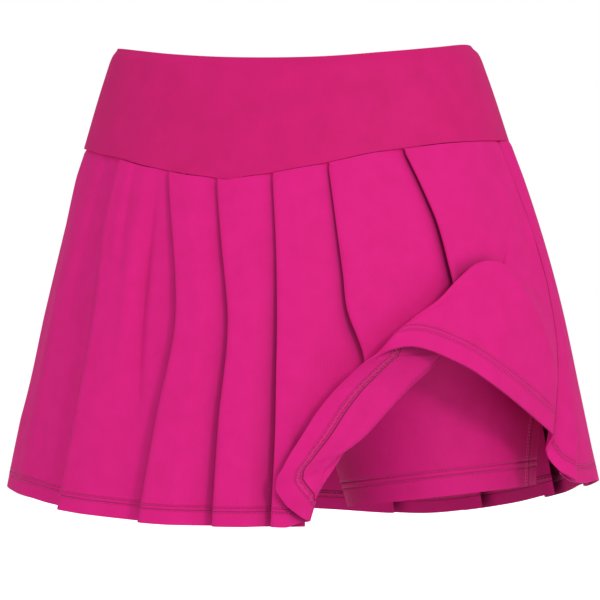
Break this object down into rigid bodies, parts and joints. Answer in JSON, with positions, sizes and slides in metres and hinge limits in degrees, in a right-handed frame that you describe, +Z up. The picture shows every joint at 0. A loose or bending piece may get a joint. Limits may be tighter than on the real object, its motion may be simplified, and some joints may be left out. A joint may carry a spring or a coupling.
{
  "type": "pleated skort",
  "caption": "Knife-pleated sports skort with a wide V-edged waistband, inner shorts and one front hem lifted to show them.",
  "frame": {"origin": "centre of the waist opening, level with the waistband's top edge at the sides", "axes": "+Z up, the front faces -Y, +X towards the wearer's left"},
  "size_m": [0.4386, 0.3543, 0.346],
  "materials": {
    "skirt_cloth": "matt magenta polyester interlock knit",
    "waistband_cloth": "matt deep magenta double interlock knit",
    "shorts_cloth": "matt magenta stretch interlock knit"
  },
  "bodies": {
    "root": {"waistband": "waistband_cloth", "skirt_front": "skirt_cloth", "skirt_back": "skirt_cloth", "shorts_left_front": "shorts_cloth", "shorts_left_back": "shorts_cloth", "shorts_right_front": "shorts_cloth", "shorts_right_back": "shorts_cloth"}
  },
  "joints": []
}
